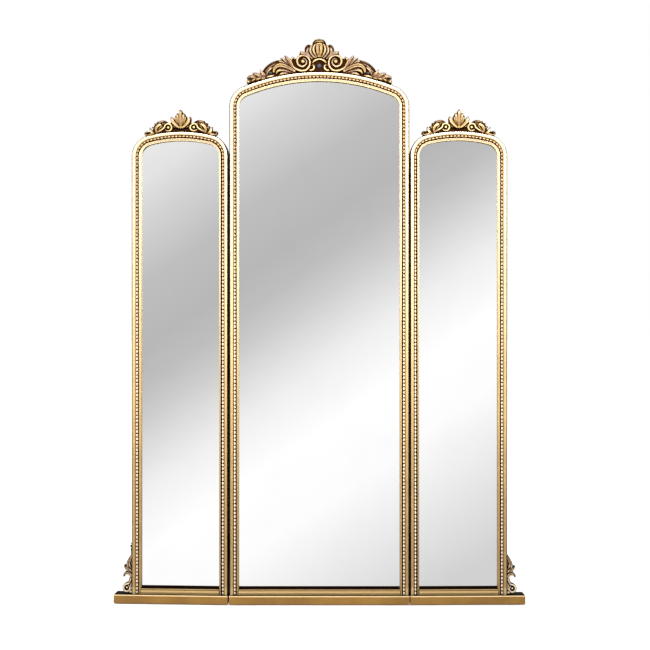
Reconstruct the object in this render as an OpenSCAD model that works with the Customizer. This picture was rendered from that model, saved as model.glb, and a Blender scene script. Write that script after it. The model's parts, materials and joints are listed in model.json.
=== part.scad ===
// Three-panel folding mirror screen.
// A wide arched centre panel stands between two narrower arched wings. Each panel is a gilt moulding
// round a mirror, on a shallow plinth, with a carved crest. Butt hinges on the back let the wings fold back.
// X is across the centre panel, -Y faces the viewer, and Z is up from the floor.

/* [Panels] */
// Overall width of the centre frame
centre_w = 583; // [480:1:720]
// Overall width of each wing's frame
wing_w = 316; // [280:1:340]
// Height of the centre arch above the floor, without its crest
centre_top = 1728; // [1600:1:1850]
// Height of each wing's arch above the floor, without its crest
wing_top = 1536; // [1450:1:1590]
// Gap between neighbouring frames when the screen is flat
panel_gap = 2; // [1.5:0.5:4]
// How far the left wing is turned back as the screen stands, in degrees
left_turn = 3; // [0:1:20]
// How far the right wing is turned back as the screen stands, in degrees
right_turn = 1; // [0:1:20]

/* [Arches] */
// Radius of the centre frame's top arch, at its outer edge
centre_arch_r = 651; // [560:1:800]
// Radius of each wing's top arch, at its outer edge
wing_arch_r = 421; // [360:1:520]
// Radius of the rounded shoulders, at the outer edge
shoulder_r = 71; // [60:1:85]

/* [Moulding] */
// Face width of the moulding
mould_w = 30; // [29:1:34]
// Depth of the moulding from front to back
mould_d = 42; // [38:1:48]
// Depth of the mirror's face behind the front of the moulding
recess = 18; // [14:1:20]
// Width of the lip that holds the mirror's edge
lip_w = 8; // [6:1:9]
// Height of the bottom rail above the plinth
rail_h = 20; // [18:1:26]

/* [Plinth] */
// Height of the plinth board
plinth_h = 29; // [24:1:36]
// How far the plinth stands out in front of the moulding
plinth_step = 10; // [6:1:16]
// How far a wing's plinth runs past the frame's outer side
wing_ledge = 56; // [50:1:70]
// Thickness of the felt pads under the plinths
pad_h = 1; // [1:0.5:3]

/* [Mirror and back] */
// Thickness of the mirror glass
glass_t = 4; // [3:1:5]
// Thickness of the backing board
board_t = 5; // [4:1:8]

/* [Hinges] */
// Height of one hinge
hinge_h = 76; // [70:2:90]
// Radius of the knuckle
knuckle_r = 4.5; // [4.5:0.25:5]
// Radius of the hinge pin
pin_r = 2.4; // [2:0.1:2.6]
// Thickness of a hinge leaf
leaf_t = 2; // [1.5:0.25:2]

/* [Hidden] */
$fn = 48;
GOLD = "#c9a35a";
DARK = "#2b1a10";
PEARL = "#dcc08a";

BASE_Z = pad_h + plinth_h;              // top of the plinths, where the frames stand
BACK_Y = (mould_d + plinth_step) / 2;   // back of the frames and plinths
FRONT_Y = BACK_Y - mould_d;             // front of the mouldings
PLINTH_D = mould_d + plinth_step;
GLASS_Y = FRONT_Y + recess;
FIT = 0.5;                              // play round the glass and the board
GLASS_IN = mould_w - lip_w + FIT;       // inset of the glass from the frame's outer edge
OUTER_BAND = 13;                        // width of the outer rounded band
CHANNEL_W = 9.5;                        // width of the channel that holds the beading
CHANNEL_V = 6.5;                        // depth of the channel's floor behind the front
BEAD_W = 7;
CREST_D = 20;                           // thickness of the crests
CREST_Y = FRONT_Y + 4;                  // front of the crests' body
CENTRE_VOLUTE = [-55, 31];              // middles of the volutes, from the top of the arch
WING_VOLUTE = [-44, 12];
BRACKET_D = 16;

HINGE_SET = knuckle_r + 0.5;            // the hinge axis stands this far behind the frames
HINGE_X = (centre_w + panel_gap) / 2;
HINGE_Y = BACK_Y + HINGE_SET;
HINGE_Z = [180, 770, 1360];             // middles of the lower, middle and upper hinges
KNUCKLES = 5;
KNUCKLE_GAP = 0.4;
KNUCKLE_H = (hinge_h - (KNUCKLES - 1) * KNUCKLE_GAP) / KNUCKLES;
PIN_PLAY = 0.05;
LEAF_EDGE = 21;                         // far edge of a leaf from the hinge axis
LEAF_CLEAR = knuckle_r + 0.7;           // near edge of a leaf beside the other leaf's knuckles
SCREW_R = 1.75;
SCREW_HEAD_R = 3.4;
SCREW_L = 18;
SCREW_X = [14.5, 10.5, 14.5];           // hinge screws, from the hinge axis
SCREW_Z = [-28, 0, 28];                 // and from the hinge's middle

// ---- lists and curves ----

function arc(c, r, from, to, n) =
    [for (i = [0:n]) let (a = from + (to - from) * i / n) c + r * [cos(a), sin(a)]];

// Each panel is [frame width, arch top, arch radius]
CENTRE = [centre_w, centre_top, centre_arch_r];
WING = [wing_w, wing_top, wing_arch_r];

function shoulder_x(p) = p[0] / 2 - shoulder_r;
function arch_z(p) = p[1] - p[2];       // height of the top arch's centre
// Angle of the joint between a shoulder and the top arch, from the horizontal
function shoulder_a(p) = acos(shoulder_x(p) / (p[2] - shoulder_r));
// Height where the straight sides end, to a hundredth of a millimetre
function spring_z(p) = round(100 * (arch_z(p) + (p[2] - shoulder_r) * sin(shoulder_a(p)))) / 100;

// Outline of a panel, set in from the outer edge of its frame, down to a given height
function outline(p, inset, bottom) = concat(
    [[p[0] / 2 - inset, bottom]],
    arc([shoulder_x(p), spring_z(p)], shoulder_r - inset, 0, shoulder_a(p), 8),
    arc([0, arch_z(p)], p[2] - inset, shoulder_a(p), 180 - shoulder_a(p), 24),
    arc([-shoulder_x(p), spring_z(p)], shoulder_r - inset, 180 - shoulder_a(p), 180, 8),
    [[-p[0] / 2 + inset, bottom]]);

// Half ellipse from one side to the other: the front of a rounded band
function band(from, to, base, rise, n) =
    [for (i = [0:n]) let (a = 180 * i / n)
        [(from + to) / 2 - (to - from) / 2 * cos(a), base - rise * sin(a)]];

// Section of the moulding: first number in from the outer edge, second back from the front
MOULDING = concat(
    [[0, mould_d], [0, 6]],
    band(0.4, OUTER_BAND - 0.6, 5.2, 5.2, 8),
    [[OUTER_BAND, 5.2], [OUTER_BAND, CHANNEL_V]],
    [[OUTER_BAND + CHANNEL_W, CHANNEL_V], [OUTER_BAND + CHANNEL_W, 4.4]],
    [[OUTER_BAND + CHANNEL_W + 0.6, 3.2], [OUTER_BAND + CHANNEL_W + 1.6, 2.6], [OUTER_BAND + CHANNEL_W + 2.6, 2.8]],
    [[mould_w - 3.6, 5], [mould_w - 1.8, 7.6], [mould_w - 0.8, 8.2], [mould_w, 9.2]],
    [[mould_w, recess], [mould_w - lip_w, recess], [mould_w - lip_w, mould_d]]);

BEAD_MID = OUTER_BAND + CHANNEL_W / 2;
BEADING = arc([BEAD_MID, CHANNEL_V], BEAD_W / 2, 180, 360, 10);
ARC_STEPS = 16;                         // facets along each arch and shoulder, an even number
SHOULDER_PROUD = [0.08, 0.05];          // the shoulders stand this much proud of what they join
SHOULDER_LAP = 0.4;                     // and run this many degrees into the arch

// Section of the bottom rail's front: back from the front, up from the plinth
RAIL_FRONT = [
    [4, 0], [4, 3], [2.2, 4], [0.6, 6], [0.2, 8.5], [1, 11], [3, 12.8], [5.5, 13.3],
    [5.5, 14], [3, 15], [1.5, 16.5], [1.5, rail_h - 1.5], [3.5, rail_h], [recess, rail_h], [recess, 0]];

// ---- tools ----

// Stands a drawing in X and Z upright, with a thickness back from a given depth
module upright(depth, thick) {
    translate([0, depth + thick, 0]) rotate([90, 0, 0]) linear_extrude(thick) children();
}

// A section swept round an arc in the panel's plane
module sweep_arc(centre, radius, from, to, section) {
    translate([centre[0], FRONT_Y, centre[1]]) rotate([90, 0, 0]) rotate([0, 0, from])
        rotate_extrude(angle = to - from, $fn = floor(ARC_STEPS * 360 / (to - from)))
            polygon([for (q = section) [radius - q[0], -q[1]]]);
}

// A section swept up one side of a panel; side is 1 on the right and -1 on the left
module sweep_side(p, side, bottom, top, section) {
    translate([0, FRONT_Y, bottom]) linear_extrude(top - bottom)
        polygon([for (q = section) [side * (p[0] / 2 - q[0]), q[1]]]);
}

// A section swept round both shoulders and the top arch
module sweep_top(p, section) {
    s = shoulder_a(p);
    proud = [for (q = section) q - SHOULDER_PROUD];
    sweep_arc([shoulder_x(p), spring_z(p)], shoulder_r, 0, s + SHOULDER_LAP, proud);
    sweep_arc([0, arch_z(p)], p[2], s, 180 - s, section);
    sweep_arc([-shoulder_x(p), spring_z(p)], shoulder_r, 180 - s - SHOULDER_LAP, 180, proud);
}

// Moves a wing, drawn as if it were a centre panel, to its place beside the centre; side is 1 or -1
module place_wing(side) {
    turn = side == 1 ? right_turn : left_turn;
    translate([side * HINGE_X, HINGE_Y, 0]) rotate([0, 0, side * turn])
        translate([side * (panel_gap + wing_w) / 2, -HINGE_Y, 0]) children();
}

// ---- pieces of one panel ----

// Pilot holes for the hinge screws, in the back of a stile; side is the stile's side of its panel
module hinge_pilots(p, side) {
    edge = side * (p[0] / 2 + panel_gap / 2);
    for (z = HINGE_Z, i = [0:2])
        translate([edge - side * SCREW_X[i], BACK_Y + 1, z + SCREW_Z[i]]) rotate([90, 0, 0])
            cylinder(r = SCREW_R + PIN_PLAY, h = SCREW_L + 1);
}

// Places the two screws that hold the plinth to the stiles
module at_plinth_screws(p) {
    for (side = [-1, 1]) translate([side * (p[0] / 2 - 11), FRONT_Y + mould_d / 2, pad_h]) children();
}

module stile(p, side, hinged) {
    color(GOLD) difference() {
        sweep_side(p, side, BASE_Z, spring_z(p), MOULDING);
        if (hinged) hinge_pilots(p, side);
        at_plinth_screws(p) cylinder(r = SCREW_R + PIN_PLAY, h = plinth_h + SCREW_L);
    }
}

module arch_rail(p) {
    color(GOLD) sweep_top(p, MOULDING);
}

module bottom_rail(p) {
    front_l = p[0] - 2 * mould_w;
    rear_l = p[0] - 2 * (mould_w - lip_w);
    color(GOLD) {
        translate([-front_l / 2, FRONT_Y, BASE_Z]) rotate([90, 0, 90]) linear_extrude(front_l) polygon(RAIL_FRONT);
        translate([-rear_l / 2, GLASS_Y, BASE_Z]) cube([rear_l, mould_d - recess, rail_h - lip_w]);
    }
}

module bead_strip(p) {
    lap = 0.4;
    color(PEARL) {
        for (side = [-1, 1]) sweep_side(p, side, BASE_Z, spring_z(p) + lap, BEADING);
        sweep_top(p, BEADING);
    }
}

module mirror_glass(p) {
    color("#dfe3e4") upright(GLASS_Y, glass_t) polygon(outline(p, GLASS_IN, BASE_Z + rail_h - lip_w));
}

module back_board(p) {
    color(DARK) upright(GLASS_Y + glass_t, board_t) polygon(outline(p, GLASS_IN, BASE_Z + rail_h - lip_w));
}

// Steel tabs that hold the board against the glass, each standing on the side of the rebate
module glazing_points(p) {
    tab = [9, 0.8, 14];
    inside = p[0] / 2 - (mould_w - lip_w);
    rows = [110, 480, 960, spring_z(p) - 60];
    color("#b8b8b8") for (z = rows, side = [-1, 1])
        translate([side * (inside - tab[0] / 2) - tab[0] / 2, GLASS_Y + glass_t + board_t, z]) cube(tab);
}

// The plinth board: rounded along its top front edge, chamfered at its bottom corners
module plinth_board(from, to) {
    round_r = 3;
    cut = 4;
    y0 = FRONT_Y - plinth_step;
    color(GOLD) translate([0, 0, pad_h]) intersection() {
        translate([from, 0, 0]) rotate([90, 0, 90]) linear_extrude(to - from) polygon(concat(
            [[BACK_Y, 0], [BACK_Y, plinth_h]],
            arc([y0 + round_r, plinth_h - round_r], round_r, 90, 180, 4), [[y0, 1.2], [y0 + 1.2, 0]]));
        upright(y0, PLINTH_D) polygon([
            [from, plinth_h], [from, cut], [from + cut, 0], [to - cut, 0], [to, cut], [to, plinth_h]]);
    }
}

module plinth(p, left_ledge, right_ledge) {
    color(GOLD) difference() {
        plinth_board(-p[0] / 2 - left_ledge, p[0] / 2 + right_ledge);
        at_plinth_screws(p) {
            cylinder(r = SCREW_R + PIN_PLAY, h = plinth_h);
            cylinder(r = SCREW_HEAD_R + 1, h = 8);
        }
    }
}

// Countersunk wood screw, point up, with the flat of its head at the origin
module screw(length) {
    head_h = 2;
    difference() {
        union() {
            cylinder(r1 = SCREW_HEAD_R, r2 = SCREW_R, h = head_h);
            cylinder(r = SCREW_R, h = length - 4);
            translate([0, 0, length - 4]) cylinder(r1 = SCREW_R, r2 = 0.3, h = 4);
        }
        for (a = [0, 90]) rotate([0, 0, a]) translate([-1.8, -0.4, -0.1]) cube([3.6, 0.8, 1.1]);
    }
}

module plinth_screws(p) {
    color("#8f8f8f") at_plinth_screws(p) translate([0, 0, 8 - 2]) screw(plinth_h + SCREW_L - 10);
}

module foot_pads(places) {
    pad = [60, PLINTH_D - 8, pad_h];
    color("#5b4a3a") for (x = places) translate([x - pad[0] / 2, -pad[1] / 2, 0]) cube(pad);
}

// ---- carved ornament ----

// Point on a curve bent from a to c by the control point b
function bend(a, b, c, t) = (1 - t) * (1 - t) * a + 2 * t * (1 - t) * b + t * t * c;
function bend_dir(a, b, c, t) = let (d = 2 * (1 - t) * (b - a) + 2 * t * (c - b)) d / norm(d);

// Outline of a leaf along a bent midrib: width w0 at its root, w1 in the middle, and a point at its tip
function leaf_side(a, b, c, w0, w1, s, n) =
    [for (i = [0:n]) let (t = i / n, d = bend_dir(a, b, c, t), w = (1 - t) * w0 + w1 * sin(180 * pow(t, 0.8)))
        bend(a, b, c, t) + s * w / 2 * [-d[1], d[0]]];
function flip(list) = [for (i = [len(list) - 1:-1:0]) list[i]];

module leaf(a, b, c, w0, w1) {
    polygon(concat(leaf_side(a, b, c, w0, w1, 1, 7), flip(leaf_side(a, b, c, w0, w1, -1, 7))));
}

module disc(c, r, depth, thick) {
    translate([c[0], depth + thick, c[1]]) rotate([90, 0, 0]) cylinder(r = r, h = thick);
}

module both_sides() {
    for (side = [0, 1]) mirror([side, 0, 0]) children();
}

// Adds a bed along the arch, half an angle to each side and so high, and trims the whole to the arch.
// The drawing's origin is the top of the arch.
module bedded(p, half, high) {
    reach = p[2] * 1.2;
    difference() {
        union() {
            children();
            translate([0, -p[2]]) intersection() {
                circle(r = p[2] + high, $fn = 240);
                polygon([[0, 0], reach * [sin(half), cos(half)], reach * [-sin(half), cos(half)]]);
            }
        }
        translate([0, -p[2]]) circle(r = p[2], $fn = 240);
    }
}

// Left half of the centre crest's outline
module centre_crest_outline() {
    leaf([-60, 2], [-82, 20], [-110, 42], 16, 13);
    leaf([-66, 4], [-128, 26], [-145, -4], 12, 13);
    leaf([-84, 12], [-160, 46], [-176, -16], 10, 11);
    leaf([-60, 2], [-90, 10], [-114, -2], 8, 8);
    leaf([-166, -14], [-178, 2], [-190, 0], 9, 7);
    leaf([-164, -20], [-205, -12], [-234, -32], 12, 15);
    leaf([-182, -24], [-200, 4], [-216, -10], 9, 8);
    leaf([-14, 52], [-34, 50], [-60, 55], 14, 12);
    leaf([-8, 46], [-38, 60], [-33, 86], 14, 15);
    leaf([2, 4], [-26, 6], [-44, 14], 8, 10);
    leaf([-72, 30], [-84, 36], [-84, 54], 12, 9);
    translate(CENTRE_VOLUTE) circle(r = 23);
    translate([-34, 78]) circle(r = 10);
    difference() {
        translate([0, 24]) circle(r = 20);
        translate([0, 24]) circle(r = 12);
    }
    polygon(concat([[0, 40]], arc([0, 88], 15.6, 90, 195, 8), [[-12, 60], [-20, 40]]));
}

module centre_crest() {
    color(GOLD) translate([0, 0, centre_top]) {
        upright(CREST_Y, CREST_D - 4) bedded(CENTRE, 20.6, 5) both_sides() centre_crest_outline();
        both_sides() {
            disc(CENTRE_VOLUTE, 19, CREST_Y - 3, 8);
            disc(CENTRE_VOLUTE, 7, CREST_Y - 5, 8);
            disc([-34, 78], 8, CREST_Y - 2, 8);
        }
        upright(CREST_Y - 4, 10) leaf([0, 42], [0, 70], [0, 100], 10, 18);
    }
}

// Left half of a wing crest's outline
module wing_crest_outline() {
    leaf([-3, 4], [-22, 18], [-31, 44], 9, 12);
    leaf([-8, 2], [-26, 8], [-38, 29], 9, 10);
    leaf([-42, 0], [-66, 6], [-94, -7], 9, 8);
    leaf([-92, -12], [-86, 46], [-46, 30], 12, 14);
    leaf([-88, -10], [-96, 4], [-101, 14], 9, 6);
    leaf([-84, -8], [-104, -8], [-120, -5], 9, 8);
    translate(WING_VOLUTE) circle(r = 12);
    translate([-118, -7]) circle(r = 7.5);
    leaf([0, 0], [0, 30], [0, 68], 18, 24);
}

module wing_crest() {
    color(GOLD) translate([0, 0, wing_top]) {
        upright(CREST_Y, CREST_D - 4) bedded(WING, 16.5, 4) both_sides() wing_crest_outline();
        both_sides() disc(WING_VOLUTE, 9.5, CREST_Y - 3, 8);
        upright(CREST_Y - 4, 10) leaf([0, 8], [0, 32], [0, 64], 8, 17);
    }
}

// Scrolled bracket on a wing's outer side, standing on the plinth; drawn for the left wing
module side_scroll() {
    y = FRONT_Y + 10;
    volute = [-16.5, 14];
    color(GOLD) translate([-wing_w / 2, 0, BASE_Z]) {
        upright(y, BRACKET_D) intersection() {
            translate([-40, 0]) square([40, 170]);
            union() {
                translate(volute) circle(r = 13.5);
                leaf([-8, 12], [6, 36], [-3, 64], 14, 10);
                leaf([-1, 66], [-26, 68], [-26, 48], 14, 8);
                leaf([-2, 60], [-20, 96], [-24, 78], 9, 14);
                leaf([-4, 66], [-7, 96], [-1, 120], 12, 8);
                leaf([-1, 100], [-4, 130], [-1, 162], 8, 5);
            }
        }
        disc(volute, 10.5, y - 3, 8);
    }
}

// ---- hinges ----

// One leaf of a hinge about the Z axis; side is the side it is screwed on, outer knuckles or inner
module hinge_leaf(side, outer) {
    near = LEAF_CLEAR;
    face = -HINGE_SET;
    color("#b08d4a") difference() {
        union() {
            translate([side == 1 ? near : -LEAF_EDGE, face, -hinge_h / 2]) cube([LEAF_EDGE - near, leaf_t, hinge_h]);
            for (i = [outer ? 0 : 1:2:KNUCKLES - 1]) {
                z = -hinge_h / 2 + i * (KNUCKLE_H + KNUCKLE_GAP);
                translate([0, 0, z]) cylinder(r = knuckle_r, h = KNUCKLE_H);
                translate([side == 1 ? 0.2 : -near - 0.2, face, z]) cube([near, leaf_t + 0.8, KNUCKLE_H]);
            }
        }
        translate([0, 0, -hinge_h]) cylinder(r = pin_r + PIN_PLAY, h = 2 * hinge_h);
        for (i = [0:2]) translate([side * SCREW_X[i], face + leaf_t, SCREW_Z[i]]) rotate([90, 0, 0]) {
            cylinder(r = SCREW_R + PIN_PLAY, h = leaf_t + 1);
            translate([0, 0, -0.01]) cylinder(r1 = SCREW_HEAD_R + PIN_PLAY, r2 = SCREW_R + PIN_PLAY, h = 2);
        }
    }
}

// Hinge on the centre panel's side; place is its number in HINGE_Z
module fixed_leaf(side, place) {
    translate([side * HINGE_X, HINGE_Y, HINGE_Z[place]]) hinge_leaf(-side, true);
}

module moving_leaf(side, place) {
    turn = side == 1 ? right_turn : left_turn;
    translate([side * HINGE_X, HINGE_Y, HINGE_Z[place]]) rotate([0, 0, side * turn]) hinge_leaf(side, false);
}

// The pins of one side's three hinges, each with a domed head above and below its knuckles
module hinge_pins(side) {
    head_r = 3.8;
    color("#b08d4a") for (z = HINGE_Z) translate([side * HINGE_X, HINGE_Y, z]) {
        cylinder(r = pin_r, h = hinge_h + 2, center = true);
        for (end = [0, 1]) mirror([0, 0, end]) translate([0, 0, hinge_h / 2 + 0.1]) {
            cylinder(r = head_r, h = 1.6);
            translate([0, 0, 1.6]) cylinder(r1 = head_r, r2 = 1.2, h = 2);
        }
    }
}

// The screws through one row of leaves; turned is the angle of the panel that they go into
module leaf_screws(side, leaf_side, turned) {
    color("#b08d4a") translate([side * HINGE_X, HINGE_Y, 0]) rotate([0, 0, turned])
        for (z = HINGE_Z, i = [0:2])
            translate([leaf_side * SCREW_X[i], -HINGE_SET + leaf_t, z + SCREW_Z[i]]) rotate([90, 0, 0]) screw(16);
}

// ---- the screen ----

stile(CENTRE, -1, true);  // centre_left_stile
stile(CENTRE, 1, true);  // centre_right_stile
arch_rail(CENTRE);  // centre_arch_rail
bottom_rail(CENTRE);  // centre_bottom_rail
bead_strip(CENTRE);  // centre_bead_strip
mirror_glass(CENTRE);  // centre_mirror_glass
back_board(CENTRE);  // centre_back_board
glazing_points(CENTRE);  // centre_glazing_points
plinth(CENTRE, 0, 0);  // centre_plinth
plinth_screws(CENTRE);  // centre_plinth_screws
foot_pads([-centre_w / 2 + 60, 0, centre_w / 2 - 60]);  // centre_foot_pads
centre_crest();

place_wing(-1) stile(WING, -1, false);  // left_outer_stile
place_wing(-1) stile(WING, 1, true);  // left_inner_stile
place_wing(-1) arch_rail(WING);  // left_arch_rail
place_wing(-1) bottom_rail(WING);  // left_bottom_rail
place_wing(-1) bead_strip(WING);  // left_bead_strip
place_wing(-1) mirror_glass(WING);  // left_mirror_glass
place_wing(-1) back_board(WING);  // left_back_board
place_wing(-1) glazing_points(WING);  // left_glazing_points
place_wing(-1) plinth(WING, wing_ledge, 0);  // left_plinth
place_wing(-1) plinth_screws(WING);  // left_plinth_screws
place_wing(-1) foot_pads([-wing_w / 2 - 10, wing_w / 2 - 60]);  // left_foot_pads
place_wing(-1) wing_crest();  // left_crest
place_wing(-1) side_scroll();  // left_side_scroll

place_wing(1) stile(WING, 1, false);  // right_outer_stile
place_wing(1) stile(WING, -1, true);  // right_inner_stile
place_wing(1) arch_rail(WING);  // right_arch_rail
place_wing(1) bottom_rail(WING);  // right_bottom_rail
place_wing(1) bead_strip(WING);  // right_bead_strip
place_wing(1) mirror_glass(WING);  // right_mirror_glass
place_wing(1) back_board(WING);  // right_back_board
place_wing(1) glazing_points(WING);  // right_glazing_points
place_wing(1) plinth(WING, 0, wing_ledge);  // right_plinth
place_wing(1) plinth_screws(WING);  // right_plinth_screws
place_wing(1) foot_pads([-wing_w / 2 + 60, wing_w / 2 + 10]);  // right_foot_pads
place_wing(1) wing_crest();  // right_crest
place_wing(1) mirror([1, 0, 0]) side_scroll();  // right_side_scroll

fixed_leaf(-1, 0);  // left_lower_fixed_leaf
fixed_leaf(-1, 1);  // left_middle_fixed_leaf
fixed_leaf(-1, 2);  // left_upper_fixed_leaf
moving_leaf(-1, 0);  // left_lower_moving_leaf
moving_leaf(-1, 1);  // left_middle_moving_leaf
moving_leaf(-1, 2);  // left_upper_moving_leaf
fixed_leaf(1, 0);  // right_lower_fixed_leaf
fixed_leaf(1, 1);  // right_middle_fixed_leaf
fixed_leaf(1, 2);  // right_upper_fixed_leaf
moving_leaf(1, 0);  // right_lower_moving_leaf
moving_leaf(1, 1);  // right_middle_moving_leaf
moving_leaf(1, 2);  // right_upper_moving_leaf
hinge_pins(-1);  // left_hinge_pins
hinge_pins(1);  // right_hinge_pins
leaf_screws(-1, 1, 0);  // left_fixed_leaf_screws
leaf_screws(-1, -1, -left_turn);  // left_moving_leaf_screws
leaf_screws(1, -1, 0);  // right_fixed_leaf_screws
leaf_screws(1, 1, right_turn);  // right_moving_leaf_screws
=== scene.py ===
"""A three-panel folding mirror screen.

Its panels have gilt mouldings with pearl beading, carved crests and, on the wings, scrolled brackets.
Lengths are metres in the row frame, except in the carvings: each is designed in millimetres from the point
where it sits, which is the top of its arch or the foot of its frame's outer side. Each panel is drawn flat,
as if unfolded, and then turned to where it stands at rest.
"""

import json
import math

import bpy
import numpy as np
from mathutils import Matrix, Vector


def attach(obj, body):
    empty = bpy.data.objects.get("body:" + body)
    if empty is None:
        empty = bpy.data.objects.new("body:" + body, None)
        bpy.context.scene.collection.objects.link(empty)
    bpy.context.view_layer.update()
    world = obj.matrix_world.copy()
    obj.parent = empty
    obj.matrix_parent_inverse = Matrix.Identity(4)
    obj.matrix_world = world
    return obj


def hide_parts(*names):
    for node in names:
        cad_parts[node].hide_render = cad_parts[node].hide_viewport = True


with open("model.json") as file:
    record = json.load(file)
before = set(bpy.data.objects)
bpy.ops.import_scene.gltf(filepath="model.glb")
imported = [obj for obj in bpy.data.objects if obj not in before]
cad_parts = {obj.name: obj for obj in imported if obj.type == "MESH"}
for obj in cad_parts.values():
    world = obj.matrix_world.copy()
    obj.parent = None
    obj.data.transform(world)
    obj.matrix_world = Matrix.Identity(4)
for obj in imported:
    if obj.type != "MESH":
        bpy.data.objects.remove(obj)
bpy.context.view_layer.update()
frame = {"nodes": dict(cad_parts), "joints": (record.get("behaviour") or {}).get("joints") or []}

MM = 0.001
SHOULDER_R = 0.071          # outer radius of the frames' shoulders
BEAD_INSET = 0.0173         # the beading's middle, in from the frame's outer edge
CHANNEL_DEPTH = 0.0065      # the channel's floor, behind the front of the moulding
GLASS_DEPTH = 0.018         # the mirror's face, behind the front of the moulding
PLINTH_PROUD = 0.010        # the plinths' front, ahead of the front of the moulding


# ---------------------------------------- panels

def rest_turn(body):
    """The matrix that turns a wing from flat to where it stands at rest, about its hinges."""
    for joint in frame["joints"]:
        if joint["child"] == body:
            pivot = Vector((joint["pos_m"][0], joint["pos_m"][1], 0))
            turn = math.radians(-joint["range_deg"][0]) * joint["axis"][2]
            return Matrix.Translation(pivot) @ Matrix.Rotation(turn, 4, "Z") @ Matrix.Translation(-pivot)
    return Matrix.Identity(4)


def flat_bounds(node, turn):
    """Lowest and highest corner of a CAD node in its flat panel."""
    back = turn.inverted()
    points = np.array([back @ v.co for v in frame["nodes"][node].data.vertices])
    return points.min(0), points.max(0)


class Panel:
    """The outline of one panel's frame: straight sides, two shoulders and an arch."""

    def __init__(self, name, body, left_stile, right_stile):
        self.name = name
        self.body = body
        self.turn = rest_turn(body)
        low, high = flat_bounds(left_stile, self.turn)
        _, right_high = flat_bounds(right_stile, self.turn)
        _, arch_high = flat_bounds(name + "_arch_rail", self.turn)
        self.middle = (low[0] + right_high[0]) / 2
        self.half = (right_high[0] - low[0]) / 2
        self.front = low[1]
        self.base = low[2]
        self.spring = high[2]
        self.top = arch_high[2]
        self.ledge = flat_bounds(name + "_bottom_rail", self.turn)[1][2]
        side = self.half - SHOULDER_R
        rise = self.top - self.spring
        self.arch_r = (side ** 2 + rise ** 2 - SHOULDER_R ** 2) / (2 * (rise - SHOULDER_R))
        self.joint_angle = math.acos(side / (self.arch_r - SHOULDER_R))

    def place(self):
        """The matrix from the flat panel, measured from its middle, to the row frame."""
        return self.turn @ Matrix.Translation((self.middle, 0, 0))

    def contour(self, inset, step):
        """Points (x, z) and outward directions along the frame, from one foot round to the other."""
        side = self.half - SHOULDER_R
        joint = self.joint_angle
        left, right = -self.half + inset, self.half - inset
        points, angles = [], []

        def line(x, start, end, angle):
            count = max(2, round(abs(end - start) / step))
            for z in np.linspace(start, end, count, endpoint=False):
                points.append((x, z))
                angles.append(angle)

        def arc(x, z, radius, start, end):
            count = max(2, round(abs(end - start) * radius / step))
            for angle in np.linspace(start, end, count, endpoint=False):
                points.append((x + radius * math.cos(angle), z + radius * math.sin(angle)))
                angles.append(angle)

        line(left, self.base, self.spring, math.pi)
        arc(-side, self.spring, SHOULDER_R - inset, math.pi, math.pi - joint)
        arc(0, self.top - self.arch_r, self.arch_r - inset, math.pi - joint, joint)
        arc(side, self.spring, SHOULDER_R - inset, joint, 0)
        line(right, self.spring, self.base, 0)
        points.append((right, self.base))
        angles.append(0)
        return np.array(points), np.array(angles)


CENTRE = Panel("centre", "centre_panel", "centre_left_stile", "centre_right_stile")
LEFT = Panel("left", "left_wing", "left_outer_stile", "left_inner_stile")
RIGHT = Panel("right", "right_wing", "right_inner_stile", "right_outer_stile")
PANELS = [CENTRE, LEFT, RIGHT]


# ---------------------------------------- shader nodes

class Shader:
    """A small helper that builds a node tree."""

    def __init__(self, tree):
        self.tree = tree

    def node(self, kind, inputs=None, **settings):
        made = self.tree.nodes.new("ShaderNode" + kind)
        for key, value in settings.items():
            setattr(made, key, value)
        for key, value in (inputs or {}).items():
            self.join(value, made.inputs[key])
        return made

    def join(self, value, socket):
        if isinstance(value, bpy.types.NodeSocket):
            self.tree.links.new(value, socket)
        else:
            socket.default_value = value

    def math(self, operation, *values):
        made = self.node("Math", operation=operation)
        for i, value in enumerate(values):
            self.join(value, made.inputs[i])
        return made.outputs[0]

    def add(self, first, second):
        return self.math("ADD", first, second)

    def minus(self, first, second):
        return self.math("SUBTRACT", first, second)

    def times(self, first, second):
        return self.math("MULTIPLY", first, second)

    def either(self, first, second):
        """The larger of two masks."""
        return self.math("MAXIMUM", first, second)

    def without(self, value):
        """What a mask leaves out."""
        return self.minus(1.0, value)

    def split(self, vector):
        """The x, y and z of a vector."""
        return self.node("SeparateXYZ", {0: vector}).outputs

    def noise(self, where, scale, detail=3.0, rough=0.55, stretch=(1, 1, 1)):
        mapped = self.node("Mapping", {"Vector": where, "Scale": stretch}).outputs[0]
        made = self.node("TexNoise", {"Vector": mapped, "Scale": scale, "Detail": detail, "Roughness": rough})
        return made.outputs["Fac"]

    def sway(self, noise, size):
        """A noise of 0 to 1 as a shift to either side, size from end to end."""
        return self.times(self.minus(noise, 0.5), size)

    def ramp(self, value, low, high):
        """0 at low, 1 at high, and a soft step between them."""
        made = self.node("MapRange", {"Value": value, "From Min": low, "From Max": high},
                         interpolation_type="SMOOTHSTEP")
        return made.outputs[0]

    def mix(self, factor, first, second):
        made = self.node("Mix", data_type="RGBA")
        self.join(factor, made.inputs[0])
        self.join(first, made.inputs[6])
        self.join(second, made.inputs[7])
        return made.outputs[2]

    def blend(self, factor, first, second):
        made = self.node("Mix", data_type="FLOAT")
        self.join(factor, made.inputs[0])
        self.join(first, made.inputs[2])
        self.join(second, made.inputs[3])
        return made.outputs[0]


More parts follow.
